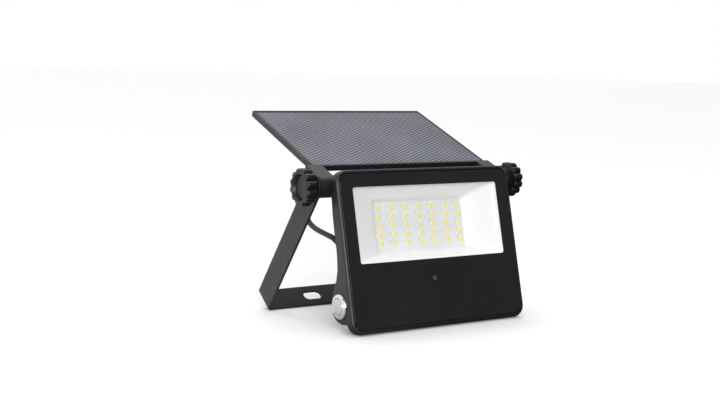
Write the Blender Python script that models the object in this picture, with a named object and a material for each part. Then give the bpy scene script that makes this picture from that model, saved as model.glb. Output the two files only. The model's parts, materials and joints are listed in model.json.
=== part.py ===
"""Solar floodlight: lamp head, U bracket, folding solar panel, two clamp knobs,
push switch and flying lead, each piece its own closed mesh. Metres, +Z up."""

import math

import bmesh
import bpy
from mathutils import Matrix, Vector

for _old in list(bpy.data.objects):
    bpy.data.objects.remove(_old, do_unlink=True)

MM = 0.001

# Pose of the three hinged groups about the one pivot axis (X), degrees
HEAD_TILT = -14.43
BRACKET_TILT = 36.68
PANEL_TILT = 21.18
PIVOT_Y = -38.1615
PIVOT_Z = 122.9559

# Lamp head: y back from the pivot axis, z up from it
FRONT = -22.2
RIM_W, RIM_TOP, RIM_BOT = 95.0, 10.7, -130.6
RIM_MID = (RIM_TOP + RIM_BOT) / 2
RIM_H = (RIM_TOP - RIM_BOT) / 2
RIM_R = 11.0
RIM_DEPTH = 8.0
WIN_W, WIN_H, WIN_Z = 79.0, 33.2, -37.9
FLOOR_W, FLOOR_H, FLOOR_Z = 49.0, 21.5, -38.4
LED_COLS, LED_ROWS, LED_DX, LED_DZ = 7, 5, 14.78, 8.11
LED_Y = FRONT + 18.0
BULGE_Z, BULGE_Y = -106.0, -6.2
BUTTON_Z, BUTTON_Y = -105.0, -5.6

# Bracket
STRIP_T, STRIP_W = 2.5, 11.7
ARM_OUT, BASE_OUT = 105.6, 144.6

# Panel
PAN_W, PAN_Q0, PAN_Q1, PAN_TOP, PAN_T = 97.2, 19.7, 141.2, 10.0, 5.7
EAR_IN, EAR_OUT = 86.7, 102.0

# Knobs
KNOB_IN, KNOB_GRIP, KNOB_OUT, KNOB_R = 105.9, 109.8, 119.6, 16.5

COLOURS = {
    "black_plastic": ((0.03, 0.03, 0.032), 0.0, 0.45),
    "black_paint": ((0.045, 0.045, 0.047), 0.0, 0.4),
    "black_rubber": ((0.02, 0.02, 0.02), 0.0, 0.7),
    "white_plastic": ((0.85, 0.85, 0.86), 0.0, 0.35),
    "glass": ((0.1, 0.11, 0.12), 0.0, 0.05),
    "mask": ((0.01, 0.01, 0.012), 0.0, 0.3),
    "pcb": ((0.8, 0.8, 0.84), 0.0, 0.4),
    "pcb_green": ((0.05, 0.2, 0.08), 0.0, 0.4),
    "cells": ((0.1, 0.1, 0.14), 0.0, 0.25),
    "chrome": ((0.8, 0.8, 0.8), 1.0, 0.08),
    "steel": ((0.6, 0.6, 0.6), 1.0, 0.3),
    "brass": ((0.7, 0.55, 0.25), 1.0, 0.3),
    "aluminium": ((0.7, 0.7, 0.72), 1.0, 0.35),
    "cell_wrap": ((0.1, 0.25, 0.5), 0.0, 0.4),
}
_mats = {}


def material(key):
    if key not in _mats:
        colour, metallic, rough = COLOURS[key]
        m = bpy.data.materials.new(key)
        m.use_nodes = True
        p = m.node_tree.nodes["Principled BSDF"]
        p.inputs["Base Color"].default_value = (*colour, 1.0)
        p.inputs["Metallic"].default_value = metallic
        p.inputs["Roughness"].default_value = rough
        _mats[key] = m
    return _mats[key]


def pivot(name, tilt):
    e = bpy.data.objects.new(name, None)
    bpy.context.scene.collection.objects.link(e)
    e.location = (0.0, PIVOT_Y * MM, PIVOT_Z * MM)
    e.rotation_euler = (math.radians(tilt), 0.0, 0.0)
    return e


HEAD = pivot("head_pivot", HEAD_TILT)
BRKT = pivot("bracket_pivot", BRACKET_TILT)
PANL = pivot("panel_pivot", PANEL_TILT)
KNBL = pivot("knob_left_pivot", HEAD_TILT)
KNBR = pivot("knob_right_pivot", HEAD_TILT)
BTTN = pivot("button_slide", HEAD_TILT)


def finish(name, bm, key, parent):
    bmesh.ops.recalc_face_normals(bm, faces=bm.faces[:])
    me = bpy.data.meshes.new(name)
    bm.to_mesh(me)
    bm.free()
    me.materials.append(material(key))
    ob = bpy.data.objects.new(name, me)
    bpy.context.scene.collection.objects.link(ob)
    ob.parent = parent
    return ob


def add_loft(bm, loops, ring=False):
    """Skin loops of equal length; ring joins the last loop to the first, else both ends are capped."""
    rows = [[bm.verts.new(Vector(p) * MM) for p in loop] for loop in loops]
    n = len(rows[0])
    pairs = list(zip(rows, rows[1:]))
    if ring:
        pairs.append((rows[-1], rows[0]))
    for a, b in pairs:
        for i in range(n):
            j = (i + 1) % n
            bm.faces.new((a[i], a[j], b[j], b[i]))
    if not ring:
        bm.faces.new(rows[0])
        bm.faces.new(list(reversed(rows[-1])))
    return bm


def loft(name, loops, key, parent, ring=False):
    return finish(name, add_loft(bmesh.new(), loops, ring), key, parent)


def rrect(hw, hh, r, cz, y, seg=4):
    """Rounded rectangle in the XZ plane at height y."""
    pts = []
    for cx, sz, a0 in ((1, 1, 0.0), (-1, 1, 90.0), (-1, -1, 180.0), (1, -1, 270.0)):
        for k in range(seg + 1):
            a = math.radians(a0 + 90.0 * k / seg)
            pts.append(
                (cx * (hw - r) + r * math.cos(a), y, cz + sz * (hh - r) + r * math.sin(a))
            )
    return pts


def rrect_xy(hw, q0, q1, r, z, seg=3, cx0=0.0):
    pts = []
    hh, cy = (q1 - q0) / 2, (q0 + q1) / 2
    for cx, sy, a0 in ((1, 1, 0.0), (-1, 1, 90.0), (-1, -1, 180.0), (1, -1, 270.0)):
        for k in range(seg + 1):
            a = math.radians(a0 + 90.0 * k / seg)
            pts.append(
                (cx0 + cx * (hw - r) + r * math.cos(a), cy + sy * (hh - r) + r * math.sin(a), z)
            )
    return pts


def circle_x(r, x, y, z, n=32, phase=0.0):
    return [
        (x, y + r * math.cos(2 * math.pi * (k + phase) / n), z + r * math.sin(2 * math.pi * (k + phase) / n))
        for k in range(n)
    ]


def circle_y(r, y, x, z, n=24):
    return [(x + r * math.cos(2 * math.pi * k / n), y, z + r * math.sin(2 * math.pi * k / n)) for k in range(n)]


def circle_z(r, z, x, y, n=24):
    return [(x + r * math.cos(2 * math.pi * k / n), y + r * math.sin(2 * math.pi * k / n), z) for k in range(n)]


def prism_x(name, poly, x0, x1, key, parent):
    return loft(name, [[(x0, y, z) for y, z in poly], [(x1, y, z) for y, z in poly]], key, parent)


def box(name, x0, x1, y0, y1, z0, z1, key, parent):
    return prism_x(name, [(y0, z0), (y1, z0), (y1, z1), (y0, z1)], x0, x1, key, parent)


def turned_x(name, profile, y, z, key, parent, n=32):
    """Solid turned about X: profile is (x, r) from one flat end to the other."""
    return loft(name, [circle_x(r, x, y, z, n) for x, r in profile], key, parent)


def tube_x(name, x0, x1, ro, ri, y, z, key, parent, n=32):
    loops = [circle_x(ro, x0, y, z, n), circle_x(ro, x1, y, z, n), circle_x(ri, x1, y, z, n), circle_x(ri, x0, y, z, n)]
    return loft(name, loops, key, parent, ring=True)


def turned_y(name, profile, x, z, key, parent, n=24):
    return loft(name, [circle_y(r, y, x, z, n) for y, r in profile], key, parent)


def modify(ob, other, op):
    m = ob.modifiers.new(op.lower() + "_" + other.name, "BOOLEAN")
    m.operation = op
    m.solver = "EXACT"
    m.object = other
    other.hide_render = True
    other.display_type = "WIRE"


def cut(ob, other):
    modify(ob, other, "DIFFERENCE")


def fuse(ob, other):
    modify(ob, other, "UNION")


def hy(n):
    """Depth behind the lamp's front plane to the head's y."""
    return FRONT + n


# ------------------------------------------------------------------ lamp head
def rim_loop(inset, depth, r=None):
    rad = max(RIM_R - inset, 1.0) if r is None else r
    return rrect(RIM_W - inset, RIM_H - inset, rad, RIM_MID, hy(depth), 6)


loft(
    "front_bezel",
    [
        rim_loop(0.0, RIM_DEPTH),
        rim_loop(0.0, 2.2),
        rim_loop(0.3, 1.1),
        rim_loop(1.1, 0.3),
        rim_loop(2.2, 0.0),
        rim_loop(2.9, 0.0),
        rim_loop(3.1, 0.3),
        rim_loop(3.1, 5.5),
        rim_loop(9.0, 5.5),
        rim_loop(9.0, RIM_DEPTH),
    ],
    "black_plastic",
    HEAD,
    ring=True,
)
loft(
    "front_glass",
    [rim_loop(3.5, 3.7, 8.0), rim_loop(3.5, 0.9, 8.0), rim_loop(3.9, 0.5, 7.6)],
    "glass",
    HEAD,
)
mask = loft("glass_mask", [rim_loop(4.0, 4.3), rim_loop(4.0, 3.95)], "mask", HEAD)
cut(mask, loft("mask_window", [rrect(WIN_W, WIN_H, 2.0, WIN_Z, hy(6), 3), rrect(WIN_W, WIN_H, 2.0, WIN_Z, hy(2), 3)], "mask", HEAD))
cut(mask, turned_y("mask_eye", [(hy(6), 2.3), (hy(2), 2.3)], -3.1, -88.3, "mask", HEAD, 20))
loft(
    "glass_gasket",
    [rim_loop(3.6, 5.3), rim_loop(3.6, 4.55), rim_loop(8.4, 4.55), rim_loop(8.4, 5.3)],
    "black_rubber",
    HEAD,
    ring=True,
)
loft(
    "reflector",
    [
        rrect(WIN_W + 1.0, WIN_H + 1.0, 3.0, WIN_Z, hy(4.6), 3),
        rrect(FLOOR_W + 3.4, FLOOR_H + 2.6, 3.0, FLOOR_Z, hy(12.6), 3),
        rrect(FLOOR_W, FLOOR_H, 2.0, FLOOR_Z, hy(17.6), 3),
        rrect(FLOOR_W + 1.8, FLOOR_H + 1.8, 3.0, FLOOR_Z, hy(17.6), 3),
        rrect(WIN_W + 2.4, WIN_H + 2.4, 3.5, WIN_Z, hy(6.0), 3),
        rrect(84.5, 38.6, 5.0, WIN_Z, hy(6.0), 3),
        rrect(84.5, 38.6, 5.0, WIN_Z, hy(4.6), 3),
    ],
    "white_plastic",
    HEAD,
    ring=True,
)
board = box("led_board", -52.0, 52.0, hy(17.9), hy(19.5), -37.97 - 24.0, -37.97 + 24.0, "pcb", HEAD)
chips = bmesh.new()
for c in range(LED_COLS):
    for r in range(LED_ROWS):
        x = (c - (LED_COLS - 1) / 2) * LED_DX
        z = -37.97 + (r - (LED_ROWS - 1) / 2) * LED_DZ
        add_loft(
            chips,
            [
                [(x - 2.5, hy(18.3), z - 2.5), (x + 2.5, hy(18.3), z - 2.5), (x + 2.5, hy(18.3), z + 2.5), (x - 2.5, hy(18.3), z + 2.5)],
                [(x - 2.5, hy(17.0), z - 2.5), (x + 2.5, hy(17.0), z - 2.5), (x + 2.5, hy(17.0), z + 2.5), (x - 2.5, hy(17.0), z + 2.5)],
            ],
        )
fuse(board, finish("led_packages", chips, "pcb", HEAD))
box("heat_spreader", -52.0, 52.0, hy(19.8), hy(21.9), -61.5, -14.5, "aluminium", HEAD)

# Rear housing: flat slab, battery bulge, raised lamp box, hinge bosses
BACK = [
    (8.3, 9.0), (10.6, 9.0), (10.6, -8.0), (11.6, -17.0), (12.4, -26.0), (12.8, -40.0), (12.5, -58.0), (13.1, -65.0),
    (14.4, -73.5), (17.9, -81.8), (21.8, -86.6), (24.9, -91.5), (28.2, -96.4), (29.8, -101.6), (30.3, -106.7),
    (29.2, -111.1), (26.7, -114.9), (22.2, -118.3), (16.2, -120.4), (8.3, -121.2),
]
slab = [(hy(8.3), -4.0), (hy(10.6), -4.0)] + [(hy(n), z) for n, z in BACK[3:]]
housing = prism_x("rear_housing", slab, -94.6, 94.6, "black_plastic", HEAD)
fuse(housing, box("top_plate", -86.0, 86.0, hy(8.3), hy(10.9), -12.0, 9.2, "black_plastic", HEAD))
fuse(
    housing,
    loft(
        "lamp_box",
        [rrect(79.0, 36.0, 6.0, -38.0, hy(9.0)), rrect(71.0, 33.5, 6.0, -38.0, hy(12.0)), rrect(60.5, 30.0, 6.0, -38.0, hy(16.0)), rrect(57.5, 28.3, 6.0, -38.0, hy(20.0)), rrect(57.5, 28.3, 6.0, -38.0, hy(23.2)), rrect(55.9, 26.7, 4.4, -38.0, hy(24.8))],
        "black_plastic",
        HEAD,
    ),
)
for side, tag in ((-1, "left"), (1, "right")):
    arc = [(9.5 * math.cos(math.radians(a)), 9.5 * math.sin(math.radians(a))) for a in range(110, -81, -10)]
    prof = [(hy(9.0), 8.6)] + arc + [(hy(11.0), -20.0), (hy(9.0), -20.0)]
    fuse(housing, prism_x("boss_" + tag, prof, side * 64.0, side * 84.2, "black_plastic", HEAD))
ribs = bmesh.new()
for k in range(9):
    x = (k - 4) * 12.0
    add_loft(
        ribs,
        [
            [(x - 1.0, hy(24.0), -62.0), (x + 1.0, hy(24.0), -62.0), (x + 1.0, hy(24.0), -14.0), (x - 1.0, hy(24.0), -14.0)],
            [(x - 0.8, hy(25.8), -61.0), (x + 0.8, hy(25.8), -61.0), (x + 0.8, hy(25.8), -15.0), (x - 0.8, hy(25.8), -15.0)],
        ],
    )
fuse(housing, finish("cooling_ribs", ribs, "black_plastic", HEAD))
INNER = [(hy(5.0), -7.0), (hy(8.4), -7.0), (hy(9.3), -17.0), (hy(10.1), -26.0), (hy(10.5), -40.0), (hy(10.2), -58.0),
         (hy(10.8), -65.0), (hy(12.1), -74.4), (hy(15.8), -83.4), (hy(19.8), -88.2), (hy(22.9), -93.0), (hy(26.1), -97.6),
         (hy(27.4), -102.3), (hy(27.8), -106.6), (hy(26.9), -110.1), (hy(25.0), -113.0), (hy(21.4), -115.9), (hy(15.9), -117.9), (hy(5.0), -118.6)]
cut(housing, prism_x("cavity", INNER, -92.2, 92.2, "black_plastic", HEAD))
cut(housing, loft("lamp_cavity", [rrect(85.2, 37.3, 4.0, -38.0, hy(5.0)), rrect(72.5, 32.3, 4.0, -38.0, hy(10.0)), rrect(61.8, 28.4, 4.0, -38.0, hy(14.0)), rrect(54.5, 25.9, 4.0, -38.0, hy(17.6)), rrect(54.5, 25.9, 4.0, -38.0, hy(22.4))], "black_plastic", HEAD))
SCREWS = [(-88.6, -26.0), (88.6, -26.0), (-88.6, -58.0), (88.6, -58.0)]
for i, (x, z) in enumerate(SCREWS):
    fuse(housing, turned_y(f"screw_post_{i + 1}", [(hy(8.5), 3.8), (hy(11.5), 3.8)], x, z, "black_plastic", HEAD, 20))
    cut(housing, turned_y(f"screw_hole_{i + 1}", [(hy(6.0), 1.7), (hy(16.0), 1.7)], x, z, "black_plastic", HEAD, 16))
    cut(bpy.data.objects["front_bezel"], turned_y(f"bezel_hole_{i + 1}", [(hy(5.0), 1.7), (hy(9.0), 1.7)], x, z, "black_plastic", HEAD, 16))
    turned_y(f"housing_screw_{i + 1}", [(hy(6.0), 1.4), (hy(13.1), 1.4), (hy(13.1), 3.0), (hy(14.2), 2.7)], x, z, "steel", HEAD, 16)
for side, tag in ((-1, "left"), (1, "right")):
    cut(housing, turned_x("boss_bore_" + tag, [(side * 69.0, 4.8), (side * 86.0, 4.8)], 0.0, 0.0, "black_plastic", HEAD, 24))
    tube_x("pivot_insert_" + tag, side * 70.5, side * 83.6, 4.5, 3.25, 0.0, 0.0, "brass", HEAD, 24)
    tube_x("friction_washer_" + tag, side * 84.5, side * 86.4, 8.2, 3.4, 0.0, 0.0, "black_rubber", HEAD)
cut(housing, turned_x("button_hole", [(-99.0, 9.0), (-88.0, 9.0)], BUTTON_Y, BUTTON_Z, "black_plastic", HEAD, 32))
GLAND_X, GLAND_Z = -60.0, -76.0
cut(housing, turned_y("gland_hole", [(hy(5.0), 4.0), (hy(20.0), 4.0)], GLAND_X, GLAND_Z, "black_plastic", HEAD, 20))
loft(
    "cable_gland",
    [circle_y(3.8, hy(8.8), GLAND_X, GLAND_Z), circle_y(3.8, hy(18.2), GLAND_X, GLAND_Z), circle_y(5.8, hy(18.2), GLAND_X, GLAND_Z),
     circle_y(5.8, hy(19.6), GLAND_X, GLAND_Z), circle_y(4.8, hy(21.4), GLAND_X, GLAND_Z), circle_y(4.0, hy(23.0), GLAND_X, GLAND_Z),
     circle_y(2.9, hy(23.0), GLAND_X, GLAND_Z), circle_y(2.9, hy(8.8), GLAND_X, GLAND_Z)],
    "black_rubber", HEAD, ring=True,
)
cut(housing, turned_y("vent_hole", [(hy(5.0), 2.6), (hy(18.0), 2.6)], 84.5, -71.0, "black_plastic", HEAD, 16))
turned_y("vent_plug", [(hy(11.0), 2.3), (hy(15.6), 2.3), (hy(15.6), 4.0), (hy(16.4), 3.6)], 84.5, -71.0, "black_rubber", HEAD, 20)

# Inside the lower head
box("control_board", -38.0, 38.0, hy(9.0), hy(10.6), -96.5, -76.5, "pcb_green", HEAD)
turned_y("sensor_lens", [(hy(8.7), 1.9), (hy(5.0), 1.9), (hy(4.0), 1.5)], -3.1, -88.3, "mask", HEAD, 20)
for k, (a, b) in enumerate(((-67.0, -2.0), (2.0, 67.0))):
    turned_x(f"battery_cell_{k + 1}", [(a, 8.4), (a + 0.8, 9.2), (b - 0.8, 9.2), (b, 8.4)], BULGE_Y, BULGE_Z, "cell_wrap", HEAD)
tray = [(BULGE_Y + 10.7 * math.cos(math.radians(a)), BULGE_Z + 10.7 * math.sin(math.radians(a))) for a in range(-75, 76, 15)]
tray += [(BULGE_Y + 9.55 * math.cos(math.radians(a)), BULGE_Z + 9.55 * math.sin(math.radians(a))) for a in range(75, -76, -15)]
prism_x("battery_tray", tray, -69.0, 69.0, "black_plastic", HEAD)

# Push switch in the left end of the bulge
cut(bpy.data.objects["front_bezel"], turned_x("nut_relief", [(-92.8, 11.4), (-70.0, 11.4)], BUTTON_Y, BUTTON_Z, "black_plastic", HEAD, 32))
loft(
    "button_bezel",
    [circle_x(r, x, BUTTON_Y, BUTTON_Z) for x, r in
     ((-74.0, 8.5), (-95.25, 8.5), (-95.25, 11.0), (-95.6, 11.0), (-96.5, 10.5), (-97.1, 9.5), (-97.3, 8.5), (-97.2, 7.8), (-96.9, 7.6), (-84.0, 7.6), (-84.0, 4.0), (-74.0, 4.0))],
    "chrome", HEAD, ring=True,
)
turned_x("button_cap", [(-86.0, 7.3), (-97.0, 7.3), (-97.4, 6.8)], BUTTON_Y, BUTTON_Z, "steel", BTTN)

# -------------------------------------------------------------------- bracket
stations = []
for k in range(1, 13):
    a = math.radians(90.0 - 90.0 * k / 12)
    stations.append((-ARM_OUT, STRIP_W * math.sin(a) - 0.37, 0, STRIP_W * math.cos(a)))
stations = [(-ARM_OUT, STRIP_W * 0.9985, 0, STRIP_W * 0.06)] + stations
R_OUT = 4.2
rows = [((x, z), (x + STRIP_T, z), w) for x, z, _, w in stations]
rows.append(((-ARM_OUT, -60.0), (-ARM_OUT + STRIP_T, -60.0), STRIP_W))
for k in range(6):
    a = math.radians(180.0 + 90.0 * k / 5)
    cx, cz = -ARM_OUT + R_OUT, -BASE_OUT + R_OUT
    rows.append(
        (
            (cx + R_OUT * math.cos(a), cz + R_OUT * math.sin(a)),
            (cx + (R_OUT - STRIP_T) * math.cos(a), cz + (R_OUT - STRIP_T) * math.sin(a)),
            STRIP_W,
        )
    )
rows += [((-o[0], o[1]), (-i[0], i[1]), w) for o, i, w in reversed(rows)]
bracket = loft(
    "bracket",
    [[(o[0], -w, o[1]), (o[0], w, o[1]), (i[0], w, i[1]), (i[0], -w, i[1])] for o, i, w in rows],
    "black_paint", BRKT,
)
cut(bracket, turned_x("bracket_bore", [(-112.0, 3.4), (112.0, 3.4)], 0.0, 0.0, "black_paint", BRKT, 24))
for side, tag in ((-1, "left"), (1, "right")):
    slot = []
    for a in range(-90, 91, 15):
        slot.append((side * 51.9 + 4.5 + 5.0 * math.cos(math.radians(a)), 5.0 * math.sin(math.radians(a))))
    for a in range(90, 271, 15):
        slot.append((side * 51.9 - 4.5 + 5.0 * math.cos(math.radians(a)), 5.0 * math.sin(math.radians(a))))
    cut(bracket, loft("base_slot_" + tag, [[(x, y, -150.0) for x, y in slot], [(x, y, -138.0) for x, y in slot]], "black_paint", BRKT))
    tube_x("bracket_washer_" + tag, side * 102.25, side * 102.85, 7.5, 3.4, 0.0, 0.0, "steel", BRKT, 24)

# ---------------------------------------------------------------------- panel
UNDER = PAN_TOP - PAN_T
frame = loft(
    "panel_frame",
    [
        rrect_xy(PAN_W - 0.8, PAN_Q0 + 0.8, PAN_Q1 - 0.8, 1.0, UNDER),
        rrect_xy(PAN_W, PAN_Q0, PAN_Q1, 1.6, UNDER + 0.8),
        rrect_xy(PAN_W, PAN_Q0, PAN_Q1, 1.6, PAN_TOP - 0.5),
        rrect_xy(PAN_W - 0.5, PAN_Q0 + 0.5, PAN_Q1 - 0.5, 1.2, PAN_TOP),
    ],
    "black_plastic", PANL,
)
for side, tag in ((-1, "left"), (1, "right")):
    ear = [(22.0, PAN_TOP), (0.0, PAN_TOP)]
    ear += [(10.0 * math.cos(math.radians(a)), 10.0 * math.sin(math.radians(a))) for a in range(105, 286, 15)]
    ear += [(8.0, -8.0 + 1.2), (19.7, UNDER), (22.0, UNDER)]
    fuse(frame, prism_x("ear_" + tag, ear, side * EAR_IN, side * EAR_OUT, "black_plastic", PANL))
    cut(frame, turned_x("ear_bore_" + tag, [(side * 85.0, 5.3), (side * 104.0, 5.3)], 0.0, 0.0, "black_plastic", PANL, 24))
    tube_x("ear_bush_" + tag, side * 86.9, side * 101.8, 5.0, 3.3, 0.0, 0.0, "black_rubber", PANL, 24)
cut(frame, loft("cell_recess", [rrect_xy(PAN_W - 1.7, PAN_Q0 + 1.7, PAN_Q1 - 1.7, 1.6, PAN_TOP - 3.6), rrect_xy(PAN_W - 1.7, PAN_Q0 + 1.7, PAN_Q1 - 1.7, 1.6, PAN_TOP + 1.0)], "cells", PANL))
loft("solar_laminate", [rrect_xy(PAN_W - 2.0, PAN_Q0 + 2.0, PAN_Q1 - 2.0, 1.4, PAN_TOP - 3.3), rrect_xy(PAN_W - 2.0, PAN_Q0 + 2.0, PAN_Q1 - 2.0, 1.4, PAN_TOP - 0.25)], "cells", PANL)
JX, JQ0, JQ1 = -60.0, 59.5, 72.5
jbox = loft("junction_box", [rrect_xy(14.0, JQ0, JQ1, 2.5, UNDER - 0.3, 3, JX), rrect_xy(14.0, JQ0, JQ1, 2.5, UNDER - 4.6, 3, JX)], "black_plastic", PANL)
cut(jbox, loft("junction_pocket", [rrect_xy(12.5, JQ0 + 1.5, JQ1 - 1.5, 1.5, UNDER - 1.6, 3, JX), rrect_xy(12.5, JQ0 + 1.5, JQ1 - 1.5, 1.5, UNDER - 6.0, 3, JX)], "black_plastic", PANL))
cut(jbox, loft("junction_exit", [[(JX + 2.0 * math.cos(a * math.pi / 8), JQ1 - 5.0, UNDER - 3.0 + 1.2 * math.sin(a * math.pi / 8)) for a in range(16)],
                                 [(JX + 2.0 * math.cos(a * math.pi / 8), JQ1 + 3.0, UNDER - 3.0 + 1.2 * math.sin(a * math.pi / 8)) for a in range(16)]], "black_plastic", PANL))
loft("junction_lid", [rrect_xy(14.0, JQ0, JQ1, 2.5, UNDER - 4.9, 3, JX), rrect_xy(14.0, JQ0, JQ1, 2.5, UNDER - 5.6, 3, JX), rrect_xy(13.2, JQ0 + 0.8, JQ1 - 0.8, 1.7, UNDER - 6.0, 3, JX)], "black_plastic", PANL)

# ---------------------------------------------------------------------- knobs
for side, tag, parent in ((-1, "left", KNBL), (1, "right", KNBR)):
    def lobed(x, r, depth, n=48):
        return [
            (side * x, (r - depth * (0.5 - 0.5 * math.cos(12 * 2 * math.pi * k / n))) * math.cos(2 * math.pi * k / n),
             (r - depth * (0.5 - 0.5 * math.cos(12 * 2 * math.pi * k / n))) * math.sin(2 * math.pi * k / n))
            for k in range(n)
        ]
    knob = loft(
        "knob_" + tag,
        [
            lobed(KNOB_IN, 9.0, 0.0), lobed(KNOB_GRIP - 0.4, 9.0, 0.0), lobed(KNOB_GRIP, KNOB_R - 0.8, 1.5), lobed(KNOB_GRIP + 0.8, KNOB_R, 1.7),
            lobed(KNOB_OUT - 2.2, KNOB_R, 1.7), lobed(KNOB_OUT - 0.9, KNOB_R - 0.9, 1.3), lobed(KNOB_OUT - 0.2, KNOB_R - 2.6, 0.6),
            lobed(KNOB_OUT, 13.0, 0.0), lobed(KNOB_OUT, 11.8, 0.0), lobed(KNOB_OUT - 0.5, 11.3, 0.0), lobed(KNOB_OUT - 4.4, 10.6, 0.0),
        ],
        "black_plastic", parent,
    )
    cut(knob, turned_x("knob_bore_" + tag, [(side * 104.0, 3.2), (side * 114.2, 3.2)], 0.0, 0.0, "steel", parent, 24))
    turned_x("knob_cap_" + tag, [(side * (KNOB_OUT - 4.1), 10.2), (side * (KNOB_OUT - 3.5), 10.2), (side * (KNOB_OUT - 3.3), 9.9)], 0.0, 0.0, "black_plastic", parent, 36)
    turned_x("stud_" + tag, [(side * 71.5, 2.4), (side * 72.1, 2.95), (side * 113.9, 2.95)], 0.0, 0.0, "steel", parent, 24)


# ----------------------------------------------------------------- flying lead
def rot(tilt, y, z):
    a = math.radians(tilt)
    return (y * math.cos(a) - z * math.sin(a), y * math.sin(a) + z * math.cos(a))


LEAD_R = 2.6
p0 = rot(PANEL_TILT, JQ1 + 0.9, UNDER - 3.0)
p1 = rot(PANEL_TILT, JQ1 + 5.4, UNDER - 4.6)
g0 = rot(HEAD_TILT, hy(17.0), GLAND_Z)
g1 = rot(HEAD_TILT, hy(24.0), GLAND_Z)
g2 = rot(HEAD_TILT, hy(27.0), GLAND_Z)
LEAD = [
    (JX, *p0), (JX, *p1),
    (-60.3, 79.0, 24.0), (-61.0, 82.0, 14.5), (-62.0, 82.2, 0.0), (-63.5, 81.4, -15.0), (-65.0, 79.3, -28.0),
    (-65.5, 73.6, -39.4), (-66.0, 64.3, -44.2), (-66.0, 52.1, -47.1), (-65.0, 39.1, -49.4), (-64.0, 28.4, -52.0),
    (-62.5, 14.0, -61.0), (-61.0, 3.5, -71.0), (-60.2, -5.5, -75.6),
    (GLAND_X, *g2), (GLAND_X, *g1), (GLAND_X, *g0),
]


def spline(points, per):
    """Catmull-Rom through the points."""
    p = [Vector(q) for q in points]
    p = [p[0] * 2 - p[1]] + p + [p[-1] * 2 - p[-2]]
    out = []
    for i in range(1, len(p) - 2):
        for k in range(per):
            t = k / per
            out.append(
                0.5 * ((2 * p[i]) + (p[i + 1] - p[i - 1]) * t + (2 * p[i - 1] - 5 * p[i] + 4 * p[i + 1] - p[i + 2]) * t * t
                       + (3 * p[i] - p[i - 1] - 3 * p[i + 1] + p[i + 2]) * t ** 3)
            )
    out.append(p[-2])
    return out


path = spline(LEAD, 5)
loops = []
side_v = Vector((1, 0, 0))
for i, c in enumerate(path):
    t = (path[min(i + 1, len(path) - 1)] - path[max(i - 1, 0)]).normalized()
    u = (side_v - t * side_v.dot(t)).normalized()
    v = t.cross(u)
    loops.append([c + u * (LEAD_R * math.cos(2 * math.pi * k / 12)) + v * (LEAD_R * math.sin(2 * math.pi * k / 12)) for k in range(12)])
lead = loft("panel_lead", loops, "black_rubber", None)
lead.location = (0.0, PIVOT_Y * MM, PIVOT_Z * MM)
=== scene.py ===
"""Looks of a solar floodlight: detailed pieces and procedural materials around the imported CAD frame."""

import json
import math

import bmesh
import bpy
from mathutils import Matrix, Vector


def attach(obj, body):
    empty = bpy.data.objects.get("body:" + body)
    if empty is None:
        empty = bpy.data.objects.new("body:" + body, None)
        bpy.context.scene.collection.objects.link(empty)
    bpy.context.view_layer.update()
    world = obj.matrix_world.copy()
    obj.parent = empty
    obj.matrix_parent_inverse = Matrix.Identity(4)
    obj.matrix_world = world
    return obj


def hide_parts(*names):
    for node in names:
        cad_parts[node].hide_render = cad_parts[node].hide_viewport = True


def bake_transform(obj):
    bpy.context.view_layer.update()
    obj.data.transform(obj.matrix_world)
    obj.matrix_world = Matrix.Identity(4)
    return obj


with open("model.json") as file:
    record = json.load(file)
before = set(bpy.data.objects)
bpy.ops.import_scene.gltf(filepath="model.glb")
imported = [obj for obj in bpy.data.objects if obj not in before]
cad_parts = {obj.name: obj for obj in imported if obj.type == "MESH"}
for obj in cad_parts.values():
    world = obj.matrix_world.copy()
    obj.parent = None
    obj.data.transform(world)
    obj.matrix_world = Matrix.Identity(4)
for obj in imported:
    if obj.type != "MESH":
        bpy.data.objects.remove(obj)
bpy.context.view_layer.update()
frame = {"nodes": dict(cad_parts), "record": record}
NODES = frame["nodes"]
JOINTS = {j["name"]: j for j in frame["record"]["behaviour"]["joints"]}
PIVOT = Vector(JOINTS["panel_tilt"]["pos_m"])
MM = 0.001

# Lean of the head and of the panel about the pivot axis, degrees
HEAD_TILT, PANEL_TILT = -14.43, 21.18


def pose(tilt):
    """Frame of a hinged group: its origin on the pivot, turned about it."""
    return Matrix.Translation(PIVOT) @ Matrix.Rotation(math.radians(tilt), 4, "X")


HEAD, PANEL = pose(HEAD_TILT), pose(PANEL_TILT)

# ------------------------------------------------------------------ camera
# Where it stands, seen from the pivot (degrees, metres), then how it turns away from the pivot (degrees)
CAM_AZ, CAM_EL, CAM_DIST = -35.979, 5.462, 1.06742
CAM_PAN, CAM_NOD, CAM_ROLL = 2.835, -0.74, -1.683
CAM_LENS, CAM_SENSOR = 58.54, 36.0
CAM_SHIFT_X, CAM_SHIFT_Y = 0.0089, -0.0099


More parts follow.
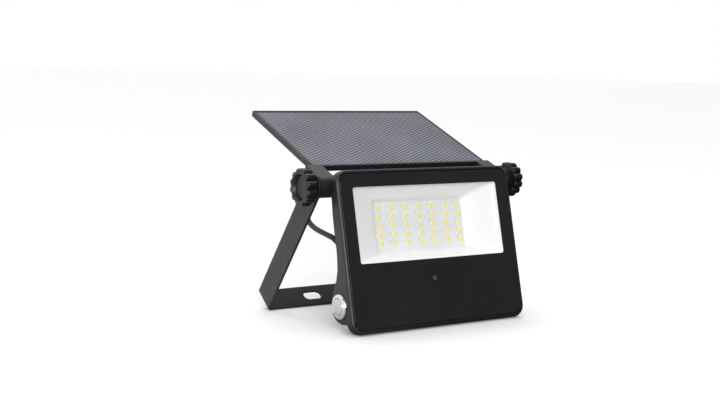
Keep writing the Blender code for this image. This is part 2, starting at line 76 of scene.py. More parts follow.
def place_camera():
    az, el = math.radians(CAM_AZ), math.radians(CAM_EL)
    back = Vector((math.sin(az) * math.cos(el), -math.cos(az) * math.cos(el), math.sin(el)))
    ahead = -back
    right = ahead.cross(Vector((0, 0, 1))).normalized()
    up = right.cross(ahead)
    axes = {"ahead": ahead, "right": right, "up": up}
    for axis, turn in (("up", CAM_PAN), ("right", CAM_NOD), ("ahead", CAM_ROLL)):
        about = Matrix.Rotation(math.radians(turn), 3, axes[axis])
        axes = {name: about @ v for name, v in axes.items()}
    cam = bpy.data.objects.new("camera", bpy.data.cameras.new("camera"))
    cam.data.lens = CAM_LENS
    cam.data.sensor_width = CAM_SENSOR
    cam.data.shift_x, cam.data.shift_y = CAM_SHIFT_X, CAM_SHIFT_Y
    cam.data.clip_start = 0.01
    m = Matrix((axes["right"], axes["up"], -axes["ahead"])).transposed().to_4x4()
    m.translation = PIVOT + back * CAM_DIST
    cam.matrix_world = m
    bpy.context.scene.collection.objects.link(cam)
    bpy.context.scene.camera = cam


place_camera()


# Panel in its own frame, mm: half width, near and far edge, top face
PAN_W, PAN_NEAR, PAN_FAR, PAN_TOP = 97.2, 19.7, 141.2, 10.0
# Black margin round the cells, mm: at each side, at the near edge, at the far edge
MARGIN_SIDE, MARGIN_NEAR, MARGIN_FAR = 3.2, 3.0, 4.8
# Dimples of the film on a hexagonal grid, metres: between columns of one row, and between rows
CELL_X, CELL_Y = 0.00694, 0.00379
# Turned rings on the switch cap: radians of their wave to a metre of radius
RING_WAVE = 16000.0


# --------------------------------------------------------------- materials
def new_material(name, colour, rough, metallic=0.0, **sockets):
    m = bpy.data.materials.new(name)
    m.use_nodes = True
    p = m.node_tree.nodes["Principled BSDF"]
    p.inputs["Base Color"].default_value = (*colour, 1.0)
    p.inputs["Roughness"].default_value = rough
    p.inputs["Metallic"].default_value = metallic
    for k, v in sockets.items():
        p.inputs[k.replace("_", " ")].default_value = v
    return m


class Graph:
    """Short calls for the nodes of one material, or of the world."""

    def __init__(self, owner, space="Object"):
        self.t = owner.node_tree
        self.p = self.t.nodes.get("Principled BSDF")
        self.co = self.t.nodes.new("ShaderNodeTexCoord").outputs[space]

    def link(self, a, b):
        self.t.links.new(a, b)

    def noise(self, scale, detail=3.0, stretch=None, rough=0.5):
        n = self.t.nodes.new("ShaderNodeTexNoise")
        n.inputs["Scale"].default_value = scale
        n.inputs["Detail"].default_value = detail
        n.inputs["Roughness"].default_value = rough
        self.link(self.mapped(stretch) if stretch else self.co, n.inputs["Vector"])
        return n.outputs["Fac"]

    def mapped(self, scale):
        mp = self.t.nodes.new("ShaderNodeMapping")
        mp.inputs["Scale"].default_value = scale
        self.link(self.co, mp.inputs["Vector"])
        return mp.outputs["Vector"]

    def span(self, fac, lo, hi, a=0.3, b=0.7, kind="LINEAR"):
        """A value that runs from lo to hi while fac runs from a to b."""
        r = self.t.nodes.new("ShaderNodeMapRange")
        r.interpolation_type = kind
        r.inputs["From Min"].default_value = a
        r.inputs["From Max"].default_value = b
        r.inputs["To Min"].default_value = lo
        r.inputs["To Max"].default_value = hi
        self.link(fac, r.inputs["Value"])
        return r.outputs["Result"]

    def ramp(self, fac, stops):
        r = self.t.nodes.new("ShaderNodeValToRGB")
        e = r.color_ramp.elements
        while len(e) < len(stops):
            e.new(0.5)
        for k, (at, colour) in enumerate(stops):
            e[k].position = at
            e[k].color = (*colour, 1.0)
        self.link(fac, r.inputs["Fac"])
        return r.outputs["Color"]

    def math(self, op, a, b=None):
        n = self.t.nodes.new("ShaderNodeMath")
        n.operation = op
        for i, v in enumerate((a, b)):
            if v is None:
                continue
            if isinstance(v, (int, float)):
                n.inputs[i].default_value = v
            else:
                self.link(v, n.inputs[i])
        return n.outputs[0]

    def axes(self):
        s = self.t.nodes.new("ShaderNodeSeparateXYZ")
        self.link(self.co, s.inputs[0])
        return s.outputs

    def toward(self, direction):
        """How far the coordinate points towards a direction."""
        n = self.t.nodes.new("ShaderNodeVectorMath")
        n.operation = "DOT_PRODUCT"
        n.inputs[1].default_value = direction
        self.link(self.co, n.inputs[0])
        return n.outputs["Value"]

    def camera_ray(self):
        return self.t.nodes.new("ShaderNodeLightPath").outputs["Is Camera Ray"]

    def bump(self, height, strength, distance):
        b = self.t.nodes.new("ShaderNodeBump")
        b.inputs["Strength"].default_value = strength
        b.inputs["Distance"].default_value = distance
        self.link(height, b.inputs["Height"])
        if self.p.inputs["Normal"].links:
            self.link(self.p.inputs["Normal"].links[0].from_socket, b.inputs["Normal"])
        self.link(b.outputs["Normal"], self.p.inputs["Normal"])

    def colour(self, out):
        self.link(out, self.p.inputs["Base Color"])

    def rough(self, out):
        self.link(out, self.p.inputs["Roughness"])


def scaled(colour, k):
    return tuple(min(1.0, v * k) for v in colour)


def grained(name, base, rough, grain=1400.0, depth=0.00006, strength=0.25, vary=0.18):
    """Moulded plastic, rubber or powder coat: fine grain, uneven tone and sheen."""
    m = new_material(name, base, rough)
    g = Graph(m)
    g.colour(g.ramp(g.noise(38.0, 4.0), [(0.25, scaled(base, 1 - vary)), (0.75, scaled(base, 1 + vary))]))
    g.rough(g.span(g.noise(90.0, 3.0), rough - 0.05, rough + 0.06))
    g.bump(g.noise(grain, 2.0), strength, depth)
    return m


def brushed(name, base, rough, stretch, metallic=1.0):
    """Drawn, turned or polished metal: a fine grain that stretch draws out along an axis."""
    m = new_material(name, base, rough, metallic)
    g = Graph(m)
    n = g.noise(260.0, 5.0, stretch, 0.65)
    g.colour(g.ramp(n, [(0.3, scaled(base, 0.86)), (0.7, scaled(base, 1.06))]))
    g.rough(g.span(n, rough - 0.06, rough + 0.08))
    g.bump(n, 0.12, 0.00003)
    return m


def solar_material():
    """Cells under an embossed film: hexagonal grid of dimples, with painted shade in the dimples and a
    painted highlight on the ridges between them, uneven tone, thin black margin.
    """
    m = new_material("solar_film", (0.2, 0.2, 0.25), 0.5, Specular_IOR_Level=0.3)
    g = Graph(m)
    xyz = g.axes()
    u = g.math("MULTIPLY", xyz["X"], 2 * math.pi / CELL_X)
    v = g.math("MULTIPLY", xyz["Y"], 2 * math.pi / CELL_Y)
    rows = g.math("MULTIPLY", g.math("COSINE", u), g.math("COSINE", v))
    columns = g.math("COSINE", g.math("MULTIPLY", u, 2.0))
    dots = g.math("ADD", g.math("MULTIPLY", rows, 2.0), g.math("MULTIPLY", columns, 0.5))
    shade = g.math("ADD", g.span(dots, 0.0, 1.0, -2.2, 2.2), g.span(g.noise(16.0, 3.0), -0.08, 0.08))
    # Painted shade darkens the colour in the dimples; a painted highlight lightens the ridges between them
    # towards a glint.
    painted_dimple_shade, grey_blue, painted_glint = (0.012, 0.013, 0.022), (0.085, 0.088, 0.115), (0.27, 0.275, 0.33)
    cells = g.ramp(shade, [(0.18, painted_dimple_shade), (0.5, grey_blue), (0.85, painted_glint)])
    inside_x = g.math("LESS_THAN", g.math("ABSOLUTE", xyz["X"]), (PAN_W - MARGIN_SIDE) * MM)
    near, far = (PAN_NEAR + MARGIN_NEAR) * MM, (PAN_FAR - MARGIN_FAR) * MM
    offset = g.math("ABSOLUTE", g.math("SUBTRACT", xyz["Y"], (near + far) / 2))
    inside = g.math("MULTIPLY", inside_x, g.math("LESS_THAN", offset, (far - near) / 2))
    mix = g.t.nodes.new("ShaderNodeMix")
    mix.data_type = "RGBA"
    mix.inputs["A"].default_value = (0.006, 0.006, 0.008, 1.0)
    g.link(inside, mix.inputs["Factor"])
    g.link(cells, mix.inputs["B"])
    g.colour(mix.outputs["Result"])
    g.rough(g.span(dots, 0.42, 0.58, -2, 2))
    g.bump(dots, 0.35, 0.00015)
    return m


def board_material():
    m = new_material("white_board", (0.79, 0.79, 0.8), 0.42)
    g = Graph(m)
    g.colour(g.ramp(g.noise(60.0, 4.0), [(0.3, (0.75, 0.75, 0.765)), (0.7, (0.83, 0.83, 0.84))]))
    g.rough(g.span(g.noise(150.0), 0.36, 0.48))
    g.bump(g.noise(900.0), 0.1, 0.00004)
    return m


def reflector_material():
    m = new_material("reflector_white", (0.9, 0.9, 0.9), 0.3)
    g = Graph(m)
    g.colour(g.ramp(g.noise(22.0, 3.0), [(0.3, (0.88, 0.885, 0.88)), (0.7, (0.93, 0.93, 0.925))]))
    g.rough(g.span(g.noise(70.0), 0.26, 0.36))
    g.bump(g.noise(500.0), 0.05, 0.00005)
    return m


def border_material():
    m = new_material("glass_border", (0.011, 0.012, 0.015), 0.1, Coat_Weight=0.6, Coat_Roughness=0.04)
    g = Graph(m)
    g.colour(g.ramp(g.noise(14.0, 3.0), [(0.3, (0.0105, 0.011, 0.0128)), (0.7, (0.0145, 0.015, 0.0172))]))
    g.rough(g.span(g.noise(30.0, 4.0), 0.07, 0.15))
    return m


def clear_material():
    m = new_material("clear_glass", (0.92, 0.96, 0.96), 0.04, Alpha=0.06, IOR=1.5)
    g = Graph(m)
    g.colour(g.ramp(g.noise(18.0), [(0.3, (0.9, 0.95, 0.95)), (0.7, (0.95, 0.98, 0.98))]))
    g.rough(g.span(g.noise(40.0), 0.03, 0.06))
    return m


def phosphor_material():
    m = new_material("phosphor", (0.93, 0.83, 0.26), 0.45)
    g = Graph(m)
    g.colour(g.ramp(g.noise(420.0, 3.0), [(0.3, (0.9, 0.76, 0.14)), (0.7, (0.96, 0.88, 0.28))]))
    g.rough(g.span(g.noise(600.0), 0.38, 0.52))
    g.bump(g.noise(1500.0), 0.15, 0.00004)
    return m


def ringed_steel():
    """Turned face: rings about the X axis of the switch."""
    m = new_material("turned_steel", (0.6, 0.6, 0.59), 0.3, 1.0)
    g = Graph(m)
    xyz = g.axes()
    r = g.math("SQRT", g.math("ADD", g.math("POWER", xyz["Y"], 2.0), g.math("POWER", xyz["Z"], 2.0)))
    rings = g.math("ADD", g.math("SINE", g.math("MULTIPLY", r, RING_WAVE)), g.span(g.noise(900.0), -0.6, 0.6))
    g.colour(g.ramp(g.span(rings, 0, 1, -1.4, 1.4), [(0.1, (0.56, 0.56, 0.555)), (0.9, (0.66, 0.66, 0.65))]))
    g.rough(g.span(rings, 0.22, 0.36, -1.4, 1.4))
    g.bump(rings, 0.06, 0.00002)
    return m


BLACK = (0.0095, 0.0095, 0.0105)
MAT = {
    "housing": grained("housing_plastic", BLACK, 0.44),
    "rim": grained("rim_plastic", BLACK, 0.42),
    "knob": grained("knob_plastic", (0.0045, 0.0045, 0.005), 0.42),
    "panel": grained("panel_plastic", (0.0085, 0.0085, 0.0095), 0.46),
    "bracket": grained("powder_coat", (0.0085, 0.0085, 0.0095), 0.5, 620.0, 0.00009, 0.3, 0.1),
    "rubber": grained("black_rubber", (0.006, 0.006, 0.0065), 0.36, 1800.0),
    "gasket": grained("gasket_rubber", (0.008, 0.008, 0.008), 0.75, 1800.0),
    "print": border_material(),
    "clear": clear_material(),
    "reflector": reflector_material(),
    "board": board_material(),
    "phosphor": phosphor_material(),
    "package": grained("led_package", (0.82, 0.82, 0.78), 0.4, 1600.0, 0.00003, 0.1, 0.04),
    "speck": grained("chip_brown", (0.13, 0.07, 0.05), 0.5, 1600.0, 0.00003, 0.1, 0.2),
    "tin": brushed("tinned_pads", (0.72, 0.72, 0.69), 0.4, (1, 1, 1), 0.35),
    "solar": solar_material(),
    "chrome": brushed("polished_chrome", (0.8, 0.8, 0.82), 0.09, (1, 1, 1)),
    "turned": ringed_steel(),
    "steel": brushed("plain_steel", (0.56, 0.56, 0.57), 0.32, (1, 6, 6)),
    "brass": brushed("turned_brass", (0.74, 0.58, 0.28), 0.3, (6, 1, 1)),
    "alu": brushed("plain_aluminium", (0.72, 0.72, 0.74), 0.36, (1, 6, 6)),
    "green": grained("circuit_green", (0.03, 0.16, 0.07), 0.35, 900.0, 0.00004, 0.1),
    "wrap": grained("battery_wrap", (0.06, 0.14, 0.38), 0.32, 900.0, 0.00003, 0.08),
    "sensor": grained("sensor_lens", (0.07, 0.07, 0.075), 0.18, 1200.0, 0.00002, 0.05),
    # Painted shade: near-black for the cross in each screw head, in place of the shade in a hollow cross
    "cross_shade": grained("screw_cross_painted_shade", (0.01, 0.01, 0.01), 0.7),
}


# ------------------------------------------------------------- mesh helpers
# Every loop of points is in mm, in the frame of the piece's group
def rrect(half_w, half_h, corner, mid_z, y, seg=14):
    """Rounded rectangle that faces along Y."""
    pts = []
    for sx, sz, a0 in ((1, 1, 0), (-1, 1, 90), (-1, -1, 180), (1, -1, 270)):
        for k in range(seg + 1):
            a = math.radians(a0 + 90 * k / seg)
            x = sx * (half_w - corner) + corner * math.cos(a)
            z = mid_z + sz * (half_h - corner) + corner * math.sin(a)
            pts.append((x, y, z))
    return pts


def rrect_flat(half_w, near, far, corner, z, seg=6):
    """Rounded rectangle that lies flat."""
    outline = rrect(half_w, (far - near) / 2, corner, 0.0, 0.0, seg)
    return [(x, (near + far) / 2 + v, z) for x, _, v in outline]


def ring_x(x, radius, n):
    """Ring round the X axis; radius is a number or a function of the angle."""
    out = []
    for k in range(n):
        a = 2 * math.pi * k / n
        r = radius(a) if callable(radius) else radius
        out.append((x, r * math.cos(a), r * math.sin(a)))
    return out


def ring_y(y, r, n, x, z):
    """Ring round a line along Y through x and z."""
    angles = [2 * math.pi * k / n for k in range(n)]
    return [(x + r * math.cos(a), y, z + r * math.sin(a)) for a in angles]


def skin(bm, loops, closed=False, slot=0):
    """Faces from each loop to the next; the last joins the first, or both ends get a lid."""
    rows = [[bm.verts.new(Vector(p) * MM) for p in loop] for loop in loops]
    n = len(rows[0])
    faces = []
    pairs = list(zip(rows, rows[1:])) + ([(rows[-1], rows[0])] if closed else [])
    for a, b in pairs:
        for i in range(n):
            faces.append(bm.faces.new((a[i], a[(i + 1) % n], b[(i + 1) % n], b[i])))
    if not closed:
        faces += [bm.faces.new(rows[0]), bm.faces.new(rows[-1][::-1])]
    for f in faces:
        f.material_index = slot


def block(bm, x0, x1, y0, y1, z0, z1, slot=0):
    skin(bm, [[(x0, y, z0), (x1, y, z0), (x1, y, z1), (x0, y, z1)] for y in (y0, y1)], slot=slot)


def finished(name, bm, materials):
    """Object of a bmesh that is done with."""
    bmesh.ops.recalc_face_normals(bm, faces=bm.faces[:])
    me = bpy.data.meshes.new(name)
    bm.to_mesh(me)
    bm.free()
    me.shade_smooth()
    for key in materials:
        me.materials.append(MAT[key])
    ob = bpy.data.objects.new(name, me)
    bpy.context.scene.collection.objects.link(ob)
    return ob


def piece(name, bm, materials, body, place, stands_for=(), sharp=32.0):
    """One finished piece: mesh, materials, body, place, CAD nodes it stands for."""
    ob = finished(name, bm, materials)
    ob.data.set_sharp_from_angle(angle=math.radians(sharp))
    ob.matrix_world = place
    bpy.context.view_layer.update()
    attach(ob, body)
    if stands_for:
        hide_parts(*stands_for)


def soften(ob, width):
    b = ob.modifiers.new("edges", "BEVEL")
    b.width = width * MM
    b.segments = 2
    b.limit_method = "ANGLE"
    b.angle_limit = math.radians(34.0)
    b.use_clamp_overlap = True
    w = ob.modifiers.new("normals", "WEIGHTED_NORMAL")
    w.keep_sharp = False


def dress(node, key, bevel):
    """A CAD node keeps its shape and gets a material, smooth curves and, where set, softened edges."""
    ob = NODES[node]
    ob.data.materials.clear()
    ob.data.materials.append(MAT[key])
    if "custom_normal" in ob.data.attributes:
        ob.data.attributes.remove(ob.data.attributes["custom_normal"])
    ob.data.shade_smooth()
    w = ob.modifiers.new("weld", "WELD")
    w.merge_threshold = 0.00001
    if bevel:
        soften(ob, bevel)
    else:
        s = ob.modifiers.new("split", "EDGE_SPLIT")
        s.split_angle = math.radians(32.0)


# --------------------------------------------------------------- lamp head
# The head's own frame has the pivot at its origin: X right, Y to the back, Z up, mm
FRONT = -22.2
RIM_W, RIM_TOP, RIM_BOT, RIM_R, RIM_DEPTH = 95.0, 10.7, -130.6, 11.0, 8.0
RIM_MID, RIM_H = (RIM_TOP + RIM_BOT) / 2, (RIM_TOP - RIM_BOT) / 2
RIM_ROUND = 2.4  # radius of the rim's outer edge
WIN_W, WIN_H, WIN_Z = 79.0, 33.2, -37.9
FLOOR_W, FLOOR_H, FLOOR_Z = 49.0, 21.5, -38.4
SEAT_W, SEAT_H = 84.5, 38.6  # outside of the reflector's flange
LED_COLS, LED_ROWS, LED_DX, LED_DZ, LED_Z = 7, 5, 14.78, 8.11, -37.97
BOARD_W, BOARD_H = 52.0, 24.0
BOARD_FACE = 17.95  # how far the face of the board lies behind the front
SENSOR_X, SENSOR_Z = -3.1, -88.3
BUTTON_Y, BUTTON_Z = -5.6, -105.0
GLAND_X, GLAND_Z = -60.0, -76.0
SCREWS = [(x, z) for z in (-26.0, -58.0) for x in (-88.6, 88.6)]
ROUND_SEGMENTS = 96  # of the switch and of the discs in the knobs


def behind(n):
    """Y of what lies n mm behind the front of the rim."""
    return FRONT + n


def rim(inset, depth, corner=None):
    corner = max(RIM_R - inset, 1.0) if corner is None else corner
    return rrect(RIM_W - inset, RIM_H - inset, corner, RIM_MID, behind(depth))


def window(grow, depth, corner=2.0):
    return rrect(WIN_W + grow, WIN_H + grow, corner, WIN_Z, behind(depth))


def make_rim():
    """Rim with a round outer edge, a small inner edge and a rebate for the glass."""
    bm = bmesh.new()
    outer = [(0.0, RIM_DEPTH), (0.0, RIM_ROUND)]
    for turn in range(15, 91, 15):
        a = math.radians(turn)
        outer.append((RIM_ROUND - RIM_ROUND * math.cos(a), RIM_ROUND - RIM_ROUND * math.sin(a)))
    inner = [(2.75, 0.0), (3.0, 0.12), (3.1, 0.4), (3.1, 5.5), (9.0, 5.5), (9.0, RIM_DEPTH)]
    skin(bm, [rim(inset, depth) for inset, depth in outer + inner], closed=True)
    piece("rim_frame", bm, ["rim"], "head", HEAD, ["front_bezel"])


def make_glass():
    """Toughened glass: black printed border all round, clear window let into it."""
    bm = bmesh.new()
    edge = ((3.5, 3.7, 8.0), (3.5, 0.95, 8.0), (3.6, 0.65, 7.9), (3.95, 0.5, 7.6), (4.3, 0.5, 7.3))
    opening = ((0.5, 0.5), (0.0, 0.5), (0.0, 0.8), (1.0, 0.85), (1.0, 3.7))
    skin(bm, [rim(*station) for station in edge] + [window(*station) for station in opening], closed=True)
    piece("glass_border", bm, ["print"], "head", HEAD, ["front_glass", "glass_mask"])
    bm = bmesh.new()
    skin(bm, [window(-0.05, 3.6), window(-0.05, 0.52)])
    piece("glass_window", bm, ["clear"], "head", HEAD)


def make_reflector():
    """Tray: collar up to the print, sloping walls, soft foot round the board, flange under the glass."""
    # How far past the tray's floor sideways and upwards, corner, depth behind the front
    foot = [
        (5.4, 4.0, 4.0, 11.8),
        (3.4, 2.6, 3.4, 12.9),
        (2.3, 1.7, 3.0, 14.4),
        (0.9, 0.8, 2.6, 16.6),
        (0.0, 0.0, 2.0, 17.35),
        (0.0, 0.0, 2.0, 17.7),
        (1.8, 1.8, 3.0, 17.6),
    ]
    loops = [window(0.9, 0.9, 2.3), window(0.1, 0.9, 2.0), window(0.1, 4.7, 2.6)]
    loops += [rrect(FLOOR_W + w, FLOOR_H + h, corner, FLOOR_Z, behind(n)) for w, h, corner, n in foot]
    loops.append(window(2.4, 6.0, 3.5))
    loops += [rrect(SEAT_W, SEAT_H, 5.0, WIN_Z, behind(n)) for n in (6.0, 4.6)]
    loops.append(window(0.9, 4.6, 3.0))
    bm = bmesh.new()
    skin(bm, loops, closed=True)
    piece("reflector_tray", bm, ["reflector"], "head", HEAD, ["reflector"])


def add_package(bm, bridge):
    """One light-emitting package: body, phosphor face, two pads, small chip, trace to the next."""
    skin(bm, [rrect(2.45, 2.45, 0.35, 0.0, behind(n), 3) for n in (BOARD_FACE, 17.1)], slot=1)
    face = ((2.15, 0.8, 17.15), (2.12, 0.8, 17.03), (1.75, 0.7, 16.93))
    skin(bm, [rrect(w, w, corner, 0.0, behind(n), 4) for w, corner, n in face], slot=2)
    for x in (-2.8, 2.8):
        block(bm, x - 0.3, x + 0.3, behind(BOARD_FACE), behind(17.75), -1.3, 1.3, 3)
    block(bm, -3.5, -2.95, behind(BOARD_FACE), behind(17.5), 1.9, 2.6, 4)
    if bridge:
        block(bm, 3.5, LED_DX - 3.5, behind(BOARD_FACE), behind(17.84), -0.7, 0.7, 0)


def make_board():
    bm = bmesh.new()
    block(bm, -BOARD_W, BOARD_W, behind(19.5), behind(17.9), LED_Z - BOARD_H, LED_Z + BOARD_H)
    for column in range(LED_COLS):
        for row in range(LED_ROWS):
            start = len(bm.verts)
            add_package(bm, bridge=column < LED_COLS - 1)
            x = (column - (LED_COLS - 1) / 2) * LED_DX
            z = LED_Z + (row - (LED_ROWS - 1) / 2) * LED_DZ
            bm.verts.ensure_lookup_table()
            for v in bm.verts[start:]:
                v.co += Vector((x, 0, z)) * MM
    materials = ["board", "package", "phosphor", "tin", "speck"]
    piece("led_array", bm, materials, "head", HEAD, ["led_board"])


def make_sensor():
    """Light sensor behind its hole in the print."""
    bm = bmesh.new()
    lens = ((8.0, 1.9), (0.6, 2.2), (0.42, 2.2), (0.36, 1.9), (0.5, 1.5), (0.48, 0.3))
    skin(bm, [ring_y(behind(n), r, 32, SENSOR_X, SENSOR_Z) for n, r in lens])
    piece("sensor_dot", bm, ["sensor"], "head", HEAD, ["sensor_lens"])


def make_switch():
    """Push switch: polished bezel with a rolled lip, turned cap standing in it."""
    place = HEAD @ Matrix.Translation(Vector((0, BUTTON_Y, BUTTON_Z)) * MM)
    bm = bmesh.new()
    lip = [(-95.25, 8.5), (-95.25, 11.0), (-95.4, 11.0)]
    for turn in range(10, 91, 10):
        a = math.radians(turn)
        lip.append((-95.4 - 1.9 * math.sin(a), 8.2 + 2.8 * math.cos(a)))
    bore = [(-97.25, 7.85), (-97.05, 7.65), (-96.7, 7.6), (-84.0, 7.6)]
    bore += [(-84.0, 4.0), (-74.0, 4.0), (-74.0, 8.5)]
    skin(bm, [ring_x(x, r, ROUND_SEGMENTS) for x, r in lip + bore], closed=True)
    piece("switch_bezel", bm, ["chrome"], "head", place, ["button_bezel"])
    bm = bmesh.new()
    cap = [(-86.0, 7.3), (-97.0, 7.3), (-97.3, 7.15), (-97.42, 6.8)]
    cap += [(-97.45, 6.2), (-97.48, 3.0), (-97.5, 0.4)]
    skin(bm, [ring_x(x, r, ROUND_SEGMENTS) for x, r in cap])
    piece("switch_cap", bm, ["turned"], "button", place, ["button_cap"])


def make_screws():
    """Cross-head screws on the back; each cross is a flat black block, painted shade standing in for the
    hollow cross.
    """
    head = ((6.0, 1.4), (13.1, 1.4), (13.1, 3.0), (13.5, 3.0), (13.95, 2.6), (14.2, 1.9), (14.25, 0.4))
    for i, (x, z) in enumerate(SCREWS, 1):
        bm = bmesh.new()
        skin(bm, [ring_y(behind(n), r, 28, x, z) for n, r in head])
        # The cross: a black block flush with the head, painted shade of the hollow
        for w, h in ((1.5, 0.3), (0.3, 1.5)):
            block(bm, x - w, x + w, behind(13.9), behind(14.27), z - h, z + h, 1)
        node = f"housing_screw_{i}"
        piece(f"cross_screw_{i}", bm, ["steel", "cross_shade"], "head", HEAD, [node])


# ---------------------------------------------------------------- knobs
KNOB_IN, KNOB_GRIP, KNOB_OUT, KNOB_R, LOBES = 105.9, 109.8, 119.6, 16.5, 12


def lobed(radius, groove):
    """Radius by angle, with a groove of that depth between each lobe and the next."""
    return lambda a: radius - groove * (1 - abs(math.cos(LOBES / 2 * a)) ** 0.8)


def make_knob(side, tag):
    """Lobed grip with a dished face, and the disc at the bottom of the dish."""
    # How far outwards from the inner or the outer face, radius, depth of the grooves
    inner = [(-0.5, 9.0, 0), (-0.1, 9.6, 0), (0.0, 13.9, 1.6), (0.3, 15.6, 2.5)]
    inner += [(1.0, KNOB_R - 0.1, 2.9), (3.0, KNOB_R, 3.0)]
    outer = [(-2.0, KNOB_R, 3.0), (-1.0, 16.2, 2.9), (-0.45, 15.6, 2.5), (-0.3, 14.6, 1.7)]
    outer += [(-0.2, 13.7, 0.8), (-0.05, 13.0, 0.1), (0.0, 12.7, 0)]
    dish = [(0.0, 12.3, 0), (-0.15, 11.95, 0), (-0.5, 11.7, 0)]
    dish += [(-3.9, 10.7, 0), (-4.4, 10.5, 0), (-4.4, 0.4, 0)]
    profile = [(KNOB_IN, 9.0, 0)] + [(KNOB_GRIP + x, r, groove) for x, r, groove in inner]
    profile += [(KNOB_OUT + x, r, groove) for x, r, groove in outer + dish]
    bm = bmesh.new()
    skin(bm, [ring_x(side * x, lobed(r, groove), 2 * ROUND_SEGMENTS) for x, r, groove in profile])
    piece("grip_" + tag, bm, ["knob"], "knob_" + tag, HEAD, ["knob_" + tag], sharp=40.0)
    bm = bmesh.new()
    disc = [(-4.35, 10.2), (-3.65, 10.2), (-3.4, 9.95), (-3.35, 9.6), (-3.5, 8.0), (-3.6, 0.4)]
    skin(bm, [ring_x(side * (KNOB_OUT + x), r, ROUND_SEGMENTS) for x, r in disc])
    piece("grip_disc_" + tag, bm, ["knob"], "knob_" + tag, HEAD, ["knob_cap_" + tag])


# ---------------------------------------------------------------- panel
def make_cells():
    """Cell sheet let into the panel's frame."""
    bm = bmesh.new()
    # Inset from the panel's outline, height, corner
    edge = ((2.0, PAN_TOP - 3.3, 1.4), (2.0, PAN_TOP - 0.45, 1.4), (2.15, PAN_TOP - 0.3, 1.3))
    skin(bm, [rrect_flat(PAN_W - d, PAN_NEAR + d, PAN_FAR - d, corner, z) for d, z, corner in edge])
    piece("cell_sheet", bm, ["solar"], "panel", PANEL, ["solar_laminate"])


# ----------------------------------------------------------------- lead
LEAD_R, LEAD_SIDES = 2.6, 20
# Junction box in the panel's frame: X of the lead, far side of the box; then the underside of the panel
JX, BOX_FAR, UNDER = -60.0, 72.5, 4.3


def in_group(tilt, x, y, z):
    return pose(tilt) @ (Vector((x, y, z)) * MM)


def beside_pivot(x, y, z):
    return PIVOT + Vector((x, y, z)) * MM


LEAD = [
    in_group(PANEL_TILT, JX, BOX_FAR + 0.9, UNDER - 3.0),
    in_group(PANEL_TILT, JX, BOX_FAR + 5.4, UNDER - 4.6),
    beside_pivot(-60.3, 79.0, 24.0),
    beside_pivot(-61.0, 82.0, 14.5),
    beside_pivot(-62.0, 82.2, 0.0),
    beside_pivot(-63.5, 81.4, -15.0),
    beside_pivot(-65.0, 79.3, -28.0),
    beside_pivot(-65.5, 73.6, -39.4),
    beside_pivot(-66.0, 64.3, -44.2),
    beside_pivot(-66.0, 52.1, -47.1),
    beside_pivot(-65.0, 39.1, -49.4),
    beside_pivot(-64.0, 28.4, -52.0),
    beside_pivot(-62.5, 14.0, -61.0),
    beside_pivot(-61.0, 3.5, -71.0),
    beside_pivot(-60.2, -5.5, -75.6),
    in_group(HEAD_TILT, GLAND_X, behind(27.0), GLAND_Z),
    in_group(HEAD_TILT, GLAND_X, behind(24.0), GLAND_Z),
    in_group(HEAD_TILT, GLAND_X, behind(17.0), GLAND_Z),
]


def smooth_line(points, per):
    """Catmull-Rom through the points, with per steps from each to the next."""
    p = [points[0] * 2 - points[1]] + points + [points[-1] * 2 - points[-2]]
    out = []
    for i in range(1, len(p) - 2):
        slope = p[i + 1] - p[i - 1]
        bend = 2 * p[i - 1] - 5 * p[i] + 4 * p[i + 1] - p[i + 2]
        twist = 3 * p[i] - p[i - 1] - 3 * p[i + 1] + p[i + 2]
        for k in range(per):
            t = k / per
            out.append(0.5 * (2 * p[i] + slope * t + bend * t * t + twist * t**3))
    return out + [p[-2]]


def make_lead():
    """Lead from the panel's junction box to the gland, on a curved path between head and panel."""
    line = smooth_line(LEAD, 8)
    loops = []
    for i, centre in enumerate(line):
        along = (line[min(i + 1, len(line) - 1)] - line[max(i - 1, 0)]).normalized()
        u = (Vector((1, 0, 0)) - along * along.x).normalized()
        v = along.cross(u)
        angles = [2 * math.pi * k / LEAD_SIDES for k in range(LEAD_SIDES)]
        loops.append([(centre + (u * math.cos(a) + v * math.sin(a)) * LEAD_R * MM) / MM for a in angles])
    bm = bmesh.new()
    skin(bm, loops)
    ob = finished("lead", bm, ["rubber"])
    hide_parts("panel_lead")
    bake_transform(ob)


# -------------------------------------------------------------- CAD nodes
# Nodes that keep their CAD shape: name, material, width of the softened edge in mm
KEPT = (
    ("rear_housing", "housing", 0.5),
    ("bracket", "bracket", 0.35),
    ("panel_frame", "panel", 0.35),
    ("junction_box", "panel", 0.3),
    ("junction_lid", "panel", 0.2),
    ("cable_gland", "rubber", 0.2),
    ("vent_plug", "rubber", 0.0),
    ("glass_gasket", "gasket", 0.0),
    ("heat_spreader", "alu", 0.0),
    ("control_board", "green", 0.0),
    ("battery_cell_1", "wrap", 0.0),
    ("battery_cell_2", "wrap", 0.0),
    ("battery_tray", "housing", 0.0),
)
# The same on the left and on the right of the pivot
KEPT_PAIRS = (
    ("pivot_insert", "brass"),
    ("friction_washer", "rubber"),
    ("ear_bush", "rubber"),
    ("bracket_washer", "steel"),
    ("stud", "steel"),
)


def dress_cad_nodes():
    for node, key, bevel in KEPT:
        dress(node, key, bevel)
    for node, key in KEPT_PAIRS:
        for tag in ("left", "right"):
            dress(f"{node}_{tag}", key, 0.0)


# ---------------------------------------------------------- floor and light
FLOOR_SIZE = 40.0  # metres
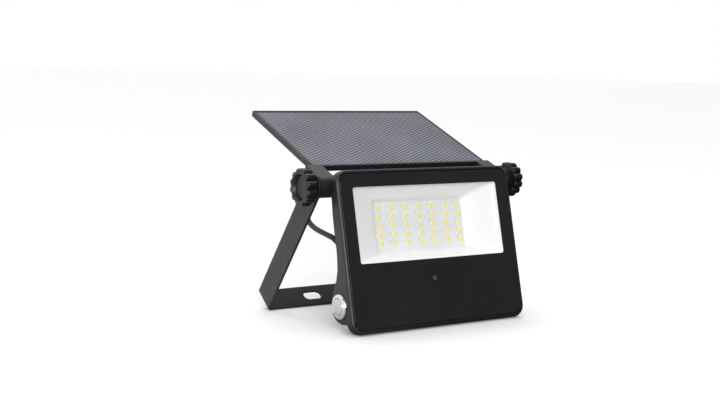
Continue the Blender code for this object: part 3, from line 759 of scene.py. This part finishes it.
# Name, kind, place, side in metres (a sun's width in degrees), strength
LIGHTS = (
    ("key", "AREA", (-1.15, -2.2, 0.85), 1.3, 52.0),
    ("top", "SUN", (0.1, 0.6, 2.0), 50.0, 1.4),
)
AIM = (0, 0, 0.09)  # middle of the object, which the lights face
BACKDROP = (-0.64, 0.64, 0.42)  # towards the bright side of the room
WORLD_BRIGHT, WORLD_DARK = 1.0, 0.10
FLAG = (-0.404, 0.0, 0.915)  # towards a small black flag above the switch's side
FLAG_EDGE, FLAG_CORE = 0.90, 0.93  # cosines between which the flag turns black
FLAG_DARK = 0.02


def floor_material():
    """Pale paper sweep; towards the front right it throws less light back than it shows the camera."""
    m = grained("pale_floor", (0.93, 0.93, 0.93), 0.75, 40.0, 0.0002, 0.05, 0.01)
    g = Graph(m)
    xyz = g.axes()
    to_back_left = g.math("SUBTRACT", xyz["Y"], xyz["X"])
    dim = g.t.nodes.new("ShaderNodeBsdfDiffuse")
    fade = g.span(to_back_left, 0.0, 1.0, -0.12, 0.22)
    tone = g.ramp(fade, [(0.0, (0.06, 0.06, 0.06)), (1.0, (0.9, 0.9, 0.9))])
    g.link(tone, dim.inputs["Color"])
    mix = g.t.nodes.new("ShaderNodeMixShader")
    g.link(g.camera_ray(), mix.inputs[0])
    g.link(dim.outputs[0], mix.inputs[1])
    g.link(g.p.outputs[0], mix.inputs[2])
    g.link(mix.outputs[0], g.t.nodes["Material Output"].inputs["Surface"])
    return m


def light_world():
    """White to the camera; what else it lights is bright at the back left and dark behind the lens."""
    world = bpy.data.worlds.new("studio")
    bpy.context.scene.world = world
    world.use_nodes = True
    g = Graph(world, "Generated")
    room = g.span(g.toward(BACKDROP), WORLD_DARK, WORLD_BRIGHT, -0.55, 0.45, "SMOOTHSTEP")
    flag = g.span(g.toward(FLAG), 1.0, FLAG_DARK, FLAG_EDGE, FLAG_CORE)
    background = g.t.nodes["Background"]
    background.inputs["Color"].default_value = (1.0, 1.0, 1.0, 1.0)
    g.link(g.math("MAXIMUM", g.math("MULTIPLY", room, flag), g.camera_ray()), background.inputs["Strength"])


def add_light(name, kind, at, size, power):
    light = bpy.data.lights.new(name, kind)
    if kind == "SUN":
        light.angle = math.radians(size)
    else:
        light.size = size
    light.energy = power
    ob = bpy.data.objects.new(name, light)
    bpy.context.scene.collection.objects.link(ob)
    ob.location = at
    ob.rotation_euler = (Vector(AIM) - Vector(at)).to_track_quat("-Z", "Y").to_euler()


def studio():
    me = bpy.data.meshes.new("floor")
    bm = bmesh.new()
    bmesh.ops.create_grid(bm, x_segments=2, y_segments=2, size=FLOOR_SIZE)
    bm.to_mesh(me)
    bm.free()
    floor = bpy.data.objects.new("floor", me)
    bpy.context.scene.collection.objects.link(floor)
    me.materials.append(floor_material())
    light_world()
    for light in LIGHTS:
        add_light(*light)
    bpy.context.scene.view_settings.view_transform = "Standard"


make_rim()
make_glass()
make_reflector()
make_board()
make_sensor()
make_switch()
make_screws()
make_knob(-1, "left")
make_knob(1, "right")
make_cells()
make_lead()
dress_cad_nodes()
studio()
